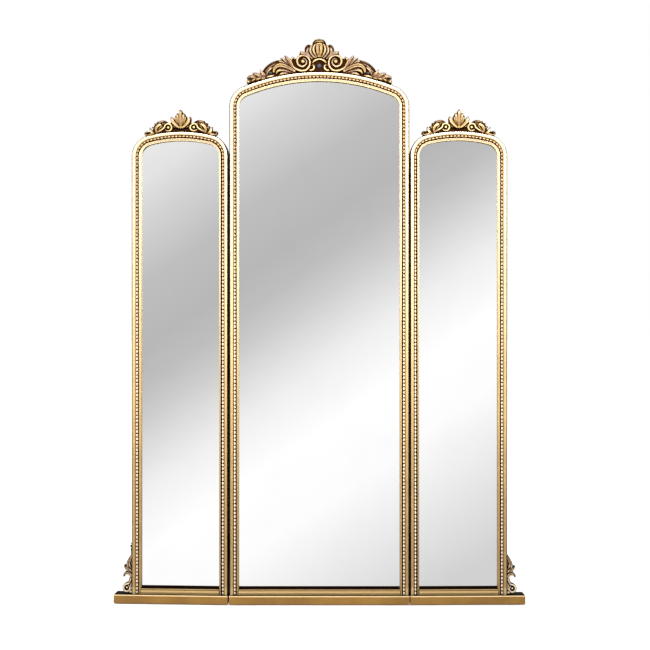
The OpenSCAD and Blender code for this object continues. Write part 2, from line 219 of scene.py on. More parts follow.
class Finish(Shader):
    """A material on the Principled shader. Its place and slope are a surface's position and normal at rest."""

    def __init__(self, name, shine=0.5):
        self.material = bpy.data.materials.new(name)
        self.material.use_nodes = True
        super().__init__(self.material.node_tree)
        self.bsdf = self.tree.nodes["Principled BSDF"]
        self.bsdf.inputs["Specular IOR Level"].default_value = shine
        coordinates = self.node("TexCoord").outputs
        self.place = coordinates["Object"]
        self.slope = coordinates["Normal"]

    def bump(self, height, distance, strength=1.0):
        made = self.node("Bump", {"Height": height, "Distance": distance, "Strength": strength})
        self.join(made.outputs[0], self.bsdf.inputs["Normal"])

    def done(self, color, metallic, roughness):
        self.join(color, self.bsdf.inputs["Base Color"])
        self.join(metallic, self.bsdf.inputs["Metallic"])
        self.join(roughness, self.bsdf.inputs["Roughness"])
        return self.material


def linear(c):
    """One linear channel from an sRGB value of 0 to 255."""
    c = c / 255
    return c / 12.92 if c <= 0.04045 else ((c + 0.055) / 1.055) ** 2.4


def rgb(red, green, blue):
    """A shader colour from sRGB values of 0 to 255."""
    return (linear(red), linear(green), linear(blue), 1.0)


# ---------------------------------------- materials

GOLD = rgb(174, 141, 80)
GOLD_LIGHT = rgb(188, 155, 92)
GOLD_OLD_AND_SHADE = rgb(144, 108, 52)        # in flecks, and as painted shade towards the frames' feet
GOLD_PALE = rgb(190, 156, 96)       # the bottom rails
GOLD_PAINTED_HIGHLIGHT = rgb(196, 174, 134)     # a painted highlight: paler gold towards the tops of the frames
UMBER = rgb(40, 20, 8)
UMBER_DEEP = rgb(14, 6, 3)
WHITE = (1.0, 1.0, 1.0, 1.0)
UPRIGHT, LEVEL = (1, 1, 0.05), (0.05, 1, 1)     # which way a wood's grain runs

# A pair gives a ramp's two ends. These are heights above the floor.
HEIGHT_PAINTED_LIGHT = (0.4, 1.5)               # up these, the frames' gold is painted paler, a painted highlight, and the pearls and carvings darker, painted shade
FEET_PAINTED_SHADE = (0.7, 0.15)            # down these, the frames' gold is painted darker: painted shade where less light reaches
BOTTOM_RAILS = (0.056, 0.050)   # below these, the gold is the bottom rails'
# below these, the plinth's front is painted darker: painted shade along its foot
PLINTH_FOOT_SHADE = (0.0048, 0.0028)
# These are depths behind the front of the moulding or, for a plinth, behind its own front.
CHANNEL_DARK = (0.0046, 0.0056)
# the outer sides are dark brown paint, and band slopes turning away from the glass get painted shade
DARK_SIDES_AND_SHADE = (0.0003, 0.0016)
FRAME_BARE = (0.017, 0.019)     # behind these there is only stained wood
PLINTH_TOP_DARK = (0.0015, 0.003)
PLINTH_BARE = (0.040, 0.044)
# These are heights above the top of the plinth or, for the last two, of the ledge under the glass.
# just under the plinth's top, the gold is painted lighter: a painted highlight along its edge
PLINTH_EDGE_HIGHLIGHT = (-0.0035, -0.0025)
LEDGE_DARK = (-0.004, -0.003)
# below these, the glass is painted dark: a painted reflection of the dark ledge
LEDGE_PAINTED_REFLECTION = (0.0066, 0.0052)

SIGHT_SHADE, ARCH_SIGHT_SHADE = 0.0020, 0.0055    # painted shade, a dark line round the glass: widths on stiles and, where it faces down, on the arch
FACES_GLASS = (0.15, 0.35)                      # what toward_glass() gives where the inner band begins


def stained_wood(s, grain=UPRIGHT):
    """Dark stained wood, which shows behind and beside the gilding."""
    streaks = s.noise(s.place, 130, 5, 0.65, grain)
    return s.mix(s.ramp(streaks, 0.35, 0.68), rgb(38, 23, 14), rgb(78, 51, 33))


def flat_place_and_slope(s, panel):
    """The x, y and z of a surface's place and of its slope, as they are in the flat panel."""
    shift, spin, _ = panel.place().inverted().decompose()
    angles = tuple(spin.to_euler())
    place = s.node("Mapping", {"Vector": s.place, "Location": tuple(shift), "Rotation": angles})
    slope = s.node("Mapping", {"Vector": s.slope, "Rotation": angles}, vector_type="VECTOR")
    return s.split(place.outputs[0]), s.split(slope.outputs[0])


def toward_glass(s, panel, place, slope):
    """How far a surface faces the middle of the glass: 1 straight at it, -1 straight away.

    Under the arch the middle is a point, and below that an upright line.
    """
    x, _, z = place
    nx, _, nz = slope
    rise = s.math("MAXIMUM", s.minus(z, panel.spring - 0.02), 0.0)
    reach = s.math("SQRT", s.add(s.times(x, x), s.times(rise, rise)))
    outward = s.add(s.times(nx, x), s.times(nz, rise))
    return s.math("DIVIDE", s.times(outward, -1.0), s.math("MAXIMUM", reach, 0.01))


def moulding_dark(s, panel, height, up, edge, inward):
    """1 in a moulding's channel, on its outer side and beside the glass, and 0 on its gilt bands."""
    channel = s.times(s.ramp(edge, *CHANNEL_DARK), s.without(s.ramp(inward, *FACES_GLASS)))
    # dark brown paint on the outer sides, and painted shade on band slopes that turn away from the glass
    outer_side = s.times(s.ramp(edge, *DARK_SIDES_AND_SHADE), s.ramp(s.times(inward, -1.0), 0.2, 0.4))
    # painted shade: a dark line beside the glass, wider where the arch's sight edge faces down
    line = s.blend(s.ramp(up, -0.7, -0.3), ARCH_SIGHT_SHADE, SIGHT_SHADE)
    # the whole of the bottom ledge is dark
    low, high = (panel.ledge + offset for offset in LEDGE_DARK)
    on_ledge = s.times(s.ramp(up, 0.25, 0.5), s.ramp(height, low, high))
    line = s.blend(on_ledge, line, GLASS_DEPTH)
    # dark beside the glass: painted shade along the sight edge, and the whole of the dark ledge
    sight_shade_and_ledge = s.math("GREATER_THAN", edge, s.minus(GLASS_DEPTH, line))
    return s.either(s.either(channel, outer_side), sight_shade_and_ledge)


def gilt_material(panel):
    """Gold paint on a moulding's bands, dark brown beside them, and stained wood behind.

    The surface's place and slope in the flat panel tell them apart. Whatever faces the glass is the inner
    band or the sight edge. The gold is painted paler towards the top, a painted highlight, and darker towards
    the feet, painted shade; the dark line beside the glass and the dark on band slopes that turn away from it
    are painted shade too.
    """
    s = Finish("gilt_" + panel.name, 0.9)
    place, slope = flat_place_and_slope(s, panel)
    height = place[2]
    fine = s.noise(s.place, 420, 4, 0.6)
    brushed = s.noise(s.place, 260, 3, 0.6, (1, 1, 0.12))
    edge = s.add(s.minus(place[1], panel.front), s.sway(fine, 0.0010))
    inward = toward_glass(s, panel, place, slope)
    dark = moulding_dark(s, panel, height, slope[2], edge, inward)
    wood = s.times(s.ramp(edge, *FRAME_BARE), s.without(s.ramp(inward, *FACES_GLASS)))
    gold = s.mix(s.ramp(s.noise(s.place, 9, 4), 0.35, 0.7), GOLD, GOLD_LIGHT)
    gold = s.mix(s.times(s.ramp(fine, 0.62, 0.74), 0.35), gold, GOLD_OLD_AND_SHADE)
    # darker old gold towards the feet: painted shade, where the lamp's light falls off
    gold = s.mix(s.times(s.ramp(height, *FEET_PAINTED_SHADE), 0.55), gold, GOLD_OLD_AND_SHADE)
    gold = s.mix(s.ramp(height, *BOTTOM_RAILS), gold, GOLD_PALE)
    # the gold turns paler towards the top: a painted highlight from the lamp above
    gold = s.mix(s.times(s.ramp(height, *HEIGHT_PAINTED_LIGHT), 0.85), gold, GOLD_PAINTED_HIGHLIGHT)
    brown = s.mix(s.ramp(s.noise(s.place, 60, 5), 0.4, 0.65), UMBER_DEEP, UMBER)
    s.bump(s.add(brushed, s.times(fine, 0.6)), 0.00025, 0.4)
    roughness = s.blend(dark, s.add(0.34, s.times(brushed, 0.16)), s.blend(wood, 0.9, 0.55))
    color = s.mix(wood, s.mix(dark, gold, brown), stained_wood(s))
    return s.done(color, s.times(dark, s.without(wood)), roughness)


def plinth_material(panel):
    """Old gold on a plinth's front, a painted highlight along its top edge, dark on top and wood behind."""
    s = Finish("plinth_gilt_" + panel.name)
    side, _, up = s.split(s.slope)
    height = s.split(s.place)[2]
    backward = panel.turn.to_3x3() @ Vector((0, 1, 0))
    front = (panel.turn @ Vector((0, panel.front - PLINTH_PROUD, 0))).dot(backward)
    reach = s.node("VectorMath", {0: s.place, 1: tuple(backward)}, operation="DOT_PRODUCT").outputs["Value"]
    depth = s.minus(reach, front)
    fine = s.noise(s.place, 420, 4, 0.6)
    worn = s.sway(fine, 0.0015)
    ragged_height = s.add(height, worn)
    top = s.times(s.ramp(up, 0.55, 0.9), s.ramp(s.add(depth, worn), *PLINTH_TOP_DARK))
    ends = s.ramp(s.math("ABSOLUTE", side), 0.7, 0.9)
    wood = s.ramp(depth, *PLINTH_BARE)
    dark = s.either(s.either(top, ends), wood)
    gold = s.mix(s.ramp(s.noise(s.place, 9, 4), 0.35, 0.7), rgb(136, 96, 26), rgb(152, 111, 36))
    gold = s.mix(s.times(s.ramp(fine, 0.6, 0.72), 0.4), gold, rgb(118, 80, 28))
    low, high = (panel.base + offset for offset in PLINTH_EDGE_HIGHLIGHT)
    # lighter along the top edge: a painted highlight
    gold = s.mix(s.ramp(ragged_height, low, high), gold, rgb(238, 206, 150))
    # darker along the foot: painted shade
    gold = s.mix(s.ramp(ragged_height, *PLINTH_FOOT_SHADE), gold, rgb(100, 70, 30))
    brown = s.mix(s.ramp(s.noise(s.place, 60, 5), 0.4, 0.65), rgb(18, 9, 4), rgb(46, 30, 14))
    s.bump(s.add(fine, s.noise(s.place, 90, 3, 0.5, (0.1, 1, 1))), 0.00025, 0.45)
    roughness = s.blend(dark, s.add(0.40, s.times(fine, 0.16)), s.blend(wood, 0.9, 0.55))
    color = s.mix(wood, s.mix(dark, gold, brown), stained_wood(s, LEVEL))
    return s.done(color, s.times(dark, s.without(wood)), roughness)


def bead_material():
    """Pale gilt on the crowns of the pearls and dark glaze between them, browner higher up as painted shade.
    """
    s = Finish("pearl_gilt")
    crown = s.node("Attribute", attribute_name="crown").outputs["Fac"]
    worn = s.add(crown, s.sway(s.noise(s.place, 300, 3), 0.5))
    bright = s.ramp(worn, 0.36, 0.80)
    # browner higher up: painted shade, as where the outer band shades the channel under the arch
    height_shade = s.ramp(s.split(s.place)[2], *HEIGHT_PAINTED_LIGHT)
    pale = s.mix(height_shade, rgb(246, 218, 190), rgb(140, 108, 70))
    color = s.mix(bright, rgb(70, 42, 19), pale)
    s.bump(s.noise(s.place, 700, 3), 0.0002, 0.4)
    return s.done(color, s.without(bright), s.blend(bright, 0.55, 0.4))


def carved_material(name, low_top_shade, high_top_shade):
    """Antique gold rubbed over dark brown: bright on what stands proud, dark in the hollows.

    The other two arguments are the gold's colours high up, on its slopes and on its crowns: there the gold is
    painted darker, and the brown lighter, as painted shade.
    """
    s = Finish(name)
    gilding = s.node("Attribute", attribute_name="gilding").outputs["Fac"]
    patches = s.noise(s.place, 130, 4, 0.6)
    fine = s.noise(s.place, 900, 3, 0.6)
    worn = s.add(gilding, s.sway(patches, 0.5))
    gold_on = s.ramp(worn, 0.24, 0.56)
    rubbed = s.ramp(worn, 0.55, 0.92)
    # colours shift with height as painted shade: higher up the gold is darker and the brown lighter
    height_shade = s.ramp(s.split(s.place)[2], *HEIGHT_PAINTED_LIGHT)
    gold = s.mix(rubbed, s.mix(height_shade, rgb(120, 90, 60), low_top_shade), s.mix(height_shade, rgb(236, 216, 182), high_top_shade))
    deep = s.mix(height_shade, rgb(10, 4, 2), UMBER)
    brown = s.mix(patches, deep, s.mix(height_shade, rgb(30, 14, 8), rgb(66, 38, 18)))
    s.bump(s.add(fine, s.times(patches, 2.0)), 0.0003, 0.5)
    behind = s.ramp(s.split(s.slope)[1], 0.3, 0.6)
    color = s.mix(behind, s.mix(gold_on, brown, gold), stained_wood(s))
    metallic = s.times(s.without(gold_on), s.without(behind))
    return s.done(color, metallic, s.blend(behind, s.blend(gold_on, 0.9, 0.45), 0.55))


def recess_shade_material():
    """Bluish black painted shade for the deepest recesses, as a glossy dark finish."""
    s = Finish("blue_black_recess_shade", 0.2)
    cloud = s.noise(s.place, 45, 4)
    s.bump(s.noise(s.place, 500, 3), 0.0002, 0.4)
    color = s.mix(s.ramp(cloud, 0.4, 0.65), rgb(12, 10, 18), rgb(36, 36, 54))
    return s.done(color, 0.0, s.blend(cloud, 0.45, 0.6))


def mirror_material(panel):
    """Silvered glass: a bright metal, faintly uneven, dark along its lowest edge: a painted reflection of the
    ledge.
    """
    s = Finish("silvered_glass_" + panel.name)
    haze = s.ramp(s.noise(s.place, 5, 4), 0.45, 0.8)
    s.bump(s.noise(s.place, 3.0, 2), 0.00006, 0.25)
    # dark along the lowest edge: a painted reflection of the dark ledge under the glass
    ledge_reflection = s.ramp(s.split(s.place)[2], *(panel.ledge + offset for offset in LEDGE_PAINTED_REFLECTION))
    silver = s.mix(haze, rgb(250, 250, 250), rgb(246, 247, 246))
    return s.done(s.mix(ledge_reflection, silver, UMBER), 1.0, s.blend(ledge_reflection, s.times(haze, 0.035), 0.6))


def board_material():
    """Dark stained hardboard with a faint mottle."""
    s = Finish("stained_board")
    fibres = s.noise(s.place, 240, 6, 0.7)
    patches = s.noise(s.place, 6, 3)
    color = s.mix(s.ramp(fibres, 0.35, 0.7), rgb(44, 28, 18), rgb(74, 50, 33))
    color = s.mix(s.times(s.ramp(patches, 0.45, 0.75), 0.4), color, rgb(30, 19, 12))
    s.bump(fibres, 0.0003, 0.5)
    return s.done(color, 0.0, s.blend(fibres, 0.5, 0.75))


def felt_material():
    """Brown felt, matted fibres."""
    s = Finish("brown_felt")
    fuzz = s.noise(s.place, 1600, 5, 0.75)
    s.bsdf.inputs["Sheen Weight"].default_value = 0.4
    s.bump(fuzz, 0.0006, 0.8)
    return s.done(s.mix(fuzz, rgb(60, 44, 32), rgb(104, 82, 62)), 0.0, 0.95)


def metal_material(name, bright, dull, grain):
    """Stamped sheet metal with fine grinding marks and tarnish."""
    s = Finish(name)
    tarnish = s.ramp(s.noise(s.place, 90, 5), 0.4, 0.72)
    marks = s.noise(s.place, 900, 2, 0.5, (1, 1, grain))
    s.bump(marks, 0.0001, 0.4)
    return s.done(s.mix(tarnish, bright, dull), 1.0, s.blend(tarnish, 0.26, 0.48))


# ---------------------------------------- mesh tools

def new_object(name, vertices, faces):
    mesh = bpy.data.meshes.new(name)
    mesh.from_pydata([tuple(v) for v in vertices], [], faces)
    mesh.update()
    mesh.shade_smooth()
    made = bpy.data.objects.new(name, mesh)
    bpy.context.scene.collection.objects.link(made)
    return made


def tube_faces(rows, columns):
    """Faces of a shell through rows of closed rings, capped at both ends."""
    faces = []
    for i in range(rows - 1):
        for j in range(columns):
            k = (j + 1) % columns
            faces.append((i * columns + j, i * columns + k, (i + 1) * columns + k, (i + 1) * columns + j))
    faces.append(tuple(reversed(range(columns))))
    faces.append(tuple((rows - 1) * columns + j for j in range(columns)))
    return faces


def stand_for(made, panel, node, material):
    """Places a flat-panel piece on its panel, in place of a CAD node."""
    made.data.transform(panel.place())
    made.data.materials.append(material)
    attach(made, panel.body)
    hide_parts(panel.name + node)


# ---------------------------------------- beading

BEAD_PITCH, BEAD_W, BEAD_H = 0.01185, 0.0070, 0.0036
BEAD_LENGTH = 1.02      # a pearl's length, as a share of the pitch, so each runs a little into the next


def beading(panel):
    """A run of pearls round a panel's channel: a half-round strip that swells into beads."""
    samples, sides = 12, 12
    points, angles = panel.contour(BEAD_INSET, 0.002)
    along = np.concatenate([[0], np.cumsum(np.linalg.norm(np.diff(points, axis=0), axis=1))])
    beads = round(along[-1] / BEAD_PITCH)
    phi = np.linspace(0, math.pi, sides)
    rings, crown = [], []
    for i in range(beads * samples):
        spread = -math.cos(math.pi * (i % samples + 0.5) / samples)
        where = (i // samples + 0.5 + 0.5 * spread) / beads * along[-1]
        swell = math.sqrt(1 - (spread / BEAD_LENGTH) ** 2)
        x, z, angle = (np.interp(where, along, values) for values in (points[:, 0], points[:, 1], angles))
        out = np.cos(phi) * swell * BEAD_W / 2
        rise = np.sin(phi) * swell * BEAD_H
        rings += zip(x + out * math.cos(angle), panel.front + CHANNEL_DEPTH - rise, z + out * math.sin(angle))
        crown += list(swell * np.sin(phi))
    made = new_object(panel.name + "_pearl_beading", rings, tube_faces(beads * samples, sides))
    made.data.attributes.new("crown", "FLOAT", "POINT").data.foreach_set("value", crown)
    stand_for(made, panel, "_bead_strip", PEARL)


# ---------------------------------------- carving tools

THINNEST_STEM, THINNEST_LEAF = 0.6, 0.8     # none gets narrower than this, mm
BED = -3                                    # the height of the dark plates behind an ornament, mm
CREST_FLOOR, BRACKET_FLOOR = -8, -9         # the backs of the carvings, mm
SPLINE_STEPS = 24                           # steps of a smooth curve between two of its rows
GILT_FACING = (0.3, 0.8)        # gilding sets in as a surface turns to the front, between these cosines,
GILT_HEIGHT = (0.38, 0.63)      # and as it rises between these shares of the carving's height,
GILT_STEP = 0.0028              # and grows as it stands proud by up to about this, m


class Clay:
    """Collects closed shells, which are later fused into one piece. Millimetres: x, depth forward, z."""

    def __init__(self, floor):
        self.floor = floor
        self.vertices = []
        self.faces = []

    def shell(self, rings):
        start = len(self.vertices)
        rows, columns = rings.shape[:2]
        self.vertices += [tuple(p) for p in rings.reshape(-1, 3)]
        self.faces += [tuple(i + start for i in face) for face in tube_faces(rows, columns)]

    def flip(self, keep):
        """Mirrors everything so far across x = 0, and keeps the first copy too if asked."""
        vertices = [(-x, h, z) for x, h, z in self.vertices]
        start = len(self.vertices) if keep else 0
        faces = [tuple(i + start for i in reversed(face)) for face in self.faces]
        self.vertices = self.vertices + vertices if keep else vertices
        self.faces = self.faces + faces if keep else faces

    def stem(self, rows, crown=0.5, groove=0.0, count=40, sides=16):
        """A band along rows of (x, z, width, height): domed in front, grooved if asked, flat behind."""
        path = spline(rows, count)
        _, square = directions(path)
        phi = np.linspace(0, math.pi, sides)
        side = np.cos(phi)
        dome = np.sin(phi) * crown - groove * np.exp(-(side / 0.3) ** 2)
        rings = []
        for (x, z, width, height), (nx, nz) in zip(path, square):
            half = max(width, THINNEST_STEM) / 2
            front = [(x + nx * half * c, height + width * d, z + nz * half * c) for c, d in zip(side, dome)]
            back = [(x - nx * half, self.floor, z - nz * half), (x + nx * half, self.floor, z + nz * half)]
            rings.append(front + back)
        self.shell(np.array(rings))

    def leaf(self, rows, lobes=3, cut=0.3, crown=0.25, rib=0.16, skew=0.7, vein=0.12, count=48, columns=17):
        """An acanthus leaf along rows of (x, z, width, height), its lobes and ribs sweeping to its tip."""
        path = spline(rows, count)
        along, square = directions(path)
        s = np.linspace(0, 1, count)
        t = np.linspace(-1, 1, columns)
        swell = np.abs(np.sin(math.pi * lobes * s)) ** 0.55
        fade = np.clip((1 - s) / 0.1, 0, 1)
        dome = crown * (1 - np.abs(t) ** 2.2) - vein * np.exp(-(t / 0.13) ** 2)
        crease = np.sin(math.pi * np.abs(t) ** 0.8).clip(0) ** 0.8
        rings = []
        for i, (x, z, width, height) in enumerate(path):
            half = max(width * (1 - cut + cut * swell[i]), THINNEST_LEAF) / 2
            lean = np.abs(t) ** 1.3 * half * skew * fade[i]
            px = x + square[i, 0] * half * t + along[i, 0] * lean
            pz = z + square[i, 1] * half * t + along[i, 1] * lean
            depth = height + (dome + rib * (swell[i] - 0.6) * crease) * half * 2
            front = np.stack([px, depth, pz], 1)
            back = np.stack([px[::-1], np.full(columns, self.floor), pz[::-1]], 1)
            rings.append(np.vstack([front, back]))
        self.shell(np.array(rings))

    def knob(self, x, z, radius, height, proud=0.8, rings=8, sides=20):
        """A round boss with a domed front."""
        turn = np.linspace(0, 2 * math.pi, sides, endpoint=False)
        profile = [(radius, self.floor)]
        for angle in np.linspace(0, math.pi / 2, rings, endpoint=False):
            profile.append((radius * math.cos(angle), height + radius * proud * math.sin(angle)))
        circles = [np.stack([x + r * np.cos(turn), np.full(sides, h), z + r * np.sin(turn)], 1)
                   for r, h in profile]
        self.shell(np.array(circles))

    def plate(self, rows, height, count=40):
        """A nearly flat bed along rows of (x, z, width)."""
        self.stem([(x, z, width, height) for x, z, width in rows], crown=0.04, count=count, sides=6)


def spline(rows, count):
    """A smooth curve through rows of numbers, evenly spaced along its first two columns."""
    rows = np.array(rows, float)
    padded = np.vstack([2 * rows[0] - rows[1], rows, 2 * rows[-1] - rows[-2]])
    fine = []
    for i in range(len(rows) - 1):
        p0, p1, p2, p3 = padded[i:i + 4]
        for t in np.linspace(0, 1, SPLINE_STEPS, endpoint=False):
            fine.append(0.5 * (2 * p1 + (p2 - p0) * t + (2 * p0 - 5 * p1 + 4 * p2 - p3) * t ** 2
                               + (3 * p1 - p0 - 3 * p2 + p3) * t ** 3))
    fine = np.array(fine + [rows[-1]])
    along = np.concatenate([[0], np.cumsum(np.linalg.norm(np.diff(fine[:, :2], axis=0), axis=1))])
    return np.stack([np.interp(np.linspace(0, along[-1], count), along, column) for column in fine.T], 1)


def directions(path):
    """Unit directions along a path in the x, z plane, and square to it."""
    along = np.gradient(path[:, :2], axis=0)
    along /= np.maximum(np.linalg.norm(along, axis=1, keepdims=True), 1e-9)
    return along, np.stack([-along[:, 1], along[:, 0]], 1)


def box_blur(values, reach):
    """Mean over a square of cells, by running sums."""
    size = 2 * reach + 1
    for axis in (0, 1):
        edges = [(reach + 1, reach) if a == axis else (0, 0) for a in (0, 1)]
        total = np.cumsum(np.pad(values, edges, mode="edge"), axis=axis)
        values = (total[size:] - total[:-size] if axis == 0 else total[:, size:] - total[:, :-size]) / size
    return values


def mesh_values(mesh, what):
    """A mesh's "co" or "normal", a row for each vertex."""
    values = np.zeros(len(mesh.vertices) * 3)
    mesh.vertices.foreach_get(what, values)
    return values.reshape(-1, 3)


def add_gilding(mesh):
    """Stores 0 in hollows and on sides, up to 1 on what stands proud, as the attribute "gilding".

    Proud means forward of the mean height round about, on a grid of cells over the carving's front.
    """
    cell, margin, near, far = 0.001, 8, 2, 6
    co, normal = mesh_values(mesh, "co"), mesh_values(mesh, "normal")
    ix, iz = (((co - co.min(0)) / cell).astype(int)[:, [0, 2]] + margin).T
    tall = co[:, 1].max() - co[:, 1]
    height = np.zeros((ix.max() + margin + 1, iz.max() + margin + 1))
    np.maximum.at(height, (ix, iz), tall)
    filled = (height > 0).astype(float)
    around = [box_blur(height, r) / np.maximum(box_blur(filled, r), 1e-6) for r in (near, far)]
    proud = tall - (around[0] + around[1])[ix, iz] / 2
    facing = np.interp(-normal[:, 1], GILT_FACING, (0, 1))
    level = np.interp(tall / tall.max(), GILT_HEIGHT, (0, 1))
    gilding = np.clip((0.5 + proud / GILT_STEP) * facing * level, 0, 1)
    mesh.attributes.new("gilding", "FLOAT", "POINT").data.foreach_set("value", gilding.astype(np.float32))


def carve(clay, panel, name, node, place, voxel):
    """Fuses the shells into one softened skin, and sets it on its panel.

    place is the ornament's own x, y and z in the flat panel.
    """
    points = np.array(clay.vertices) * MM
    rough = new_object(name + ".rough", np.stack([points[:, 0], -points[:, 1], points[:, 2]], 1), clay.faces)
    skin = rough.modifiers.new("skin", "REMESH")
    skin.mode = "VOXEL"
    skin.voxel_size = voxel
    relax = rough.modifiers.new("relax", "SMOOTH")
    relax.factor = 0.5
    relax.iterations = 4
    mesh = bpy.data.meshes.new_from_object(rough.evaluated_get(bpy.context.evaluated_depsgraph_get()))
    bpy.data.objects.remove(rough)
    mesh.name = name
    mesh.shade_smooth()
    add_gilding(mesh)
    mesh.transform(Matrix.Translation(place))
    made = bpy.data.objects.new(name, mesh)
    bpy.context.scene.collection.objects.link(made)
    stand_for(made, panel, node, CARVED[panel.name])


def recess_shade_cabochons(panel, name, spots, place):
    """Low dark cabochons, (x, z, half width, half height), of painted shade in the deepest recesses of a
    carving.
    """
    vertices, faces = [], []
    rings, sides, thick, proud = 10, 32, 3.0, 2.2
    last_angle = math.pi / 2 * 0.97     # just short of a point
    for x, z, wide, high in spots:
        start = len(vertices)
        turn = np.linspace(0, 2 * math.pi, sides, endpoint=False)
        profile = [(1, -thick)]
        for angle in np.linspace(0, last_angle, rings):
            profile.append((math.cos(angle), proud * math.sin(angle)))
        for scale, rise in profile:
            vertices += [((x + wide * scale * c) * MM, -rise * MM, (z + high * scale * s) * MM)
                         for c, s in zip(np.cos(turn), np.sin(turn))]
        faces += [tuple(i + start for i in face) for face in tube_faces(rings + 1, sides)]
    made = new_object(panel.name + name, vertices, faces)
    made.data.transform(panel.place() @ Matrix.Translation(place))
    made.data.materials.append(RECESS_SHADE)
    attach(made, panel.body)


def arch_bed(clay, panel, half_x, height):
    """The dark bed of a crest: a strip along the top of its arch, sunk a little into the frame."""
    r = panel.arch_r / MM
    sunk, rows_across = 0.6, 15
    lift = height / 2 - sunk
    rows = []
    for x in np.linspace(-half_x, half_x, rows_across):
        slope = math.asin(x / r)
        rows.append((x + lift * math.sin(slope), r * math.cos(slope) - r + lift * math.cos(slope), height))
    clay.plate(rows, -1, count=60)


# ---------------------------------------- crests and brackets
# Rows are (x, z, width, height) in mm. In a crest, x is out from its middle, z is up from the top of the arch
# and height is forward of the crest's own plane; its right half is drawn and mirrored. In a bracket, x is out
# from the frame's outer side and z is up from the plinth.

CREST_SET, BRACKET_SET = 0.005, 0.016       # their own planes, behind the front of the moulding
BRACKET_LIFT = 0.002                        # the brackets' z = 0, above the frame's foot
CREST_SHIFT = {"left": 0.0047, "centre": 0.0, "right": -0.0004}     # along the arches, to the right
CENTRE_VOXEL, WING_VOXEL, BRACKET_VOXEL = 0.0008, 0.0007, 0.0006    # finer on the smaller carvings


def crest_volute(clay):
    """A C scroll that hooks over at its top and coils in round a button."""
    clay.stem([(79, 38, 4, 3), (85, 44, 6, 4), (91, 37, 6, 5), (90, 24, 6, 5), (83, 12, 7, 5), (70, 4, 7, 5),
               (55, 1, 7, 5), (41, 5, 7, 5), (32, 17, 6, 5), (31, 32, 6, 5), (38, 45, 7, 5), (52, 51, 8, 5),
               (66, 46, 8, 4), (72, 34, 7, 4), (68, 21, 7, 3), (55, 15, 7, 3), (44, 22, 6, 3), (42, 33, 5, 3),
               (49, 41, 5, 3), (57, 40, 4, 2)], groove=0.13, count=150)
    clay.knob(53, 31, 6.8, 4, 0.9)
    clay.stem([(34, 50, 10, 3), (46, 56, 12, 5), (56, 58, 10, 6), (63, 63, 3, 7)], groove=0.15)
    clay.knob(61, 53, 4.6, 2)


def crest_cartouche(clay):
    """Half of the shell cartouche: nested ribs that sweep in to its foot, under a roll."""
    clay.stem([(12, 87, 5, 6), (18, 77, 7, 7), (19, 65, 8, 7), (14, 54, 7, 6), (7, 45, 5, 5)], groove=0.08)
    clay.stem([(21, 86, 5, 4), (27, 76, 8, 6), (29, 63, 9, 6), (22, 51, 8, 5), (12, 42, 5, 4)], groove=0.1)
    clay.stem([(30, 79, 5, 3), (37, 71, 9, 4), (39, 60, 10, 4), (33, 49, 9, 4), (22, 40, 5, 3)], groove=0.12)
    # the ear that curls in over the outermost rib
    clay.stem([(38, 57, 4, 2), (44, 66, 7, 2), (43, 76, 7, 2), (36, 83, 7, 2), (28, 80, 5, 2),
               (28, 75, 4, 1), (33, 75, 3, 0)], groove=0.1, count=60)
    # the dark roll that caps it, and the gilt curls on the roll
    clay.stem([(0, 99, 12, 2), (8, 98, 12, 1), (15, 94, 10, 0), (19, 88, 7, -1), (16, 84, 4, -1)],
              groove=0.14)
    clay.stem([(0, 95, 4, 8), (6, 96, 4, 7), (12, 94, 4, 5), (14, 89, 3, 4), (10, 88, 3, 4)], count=30)
    clay.stem([(2, 102, 4, 6), (9, 101, 4, 5), (15, 97, 3, 3)], count=24)
    # the arch over the dark boss in the middle, a cabochon of painted shade, and the curl beside it
    clay.stem([(0, 39, 6, 4), (9, 37, 7, 4), (17, 32, 7, 4), (23, 25, 4, 3)], groove=0.1)
    clay.stem([(32, 3, 6, 3), (24, 3, 7, 4), (18, 8, 7, 4), (17, 15, 6, 4), (21, 20, 5, 3), (26, 17, 4, 2)],
              groove=0.1, count=50)


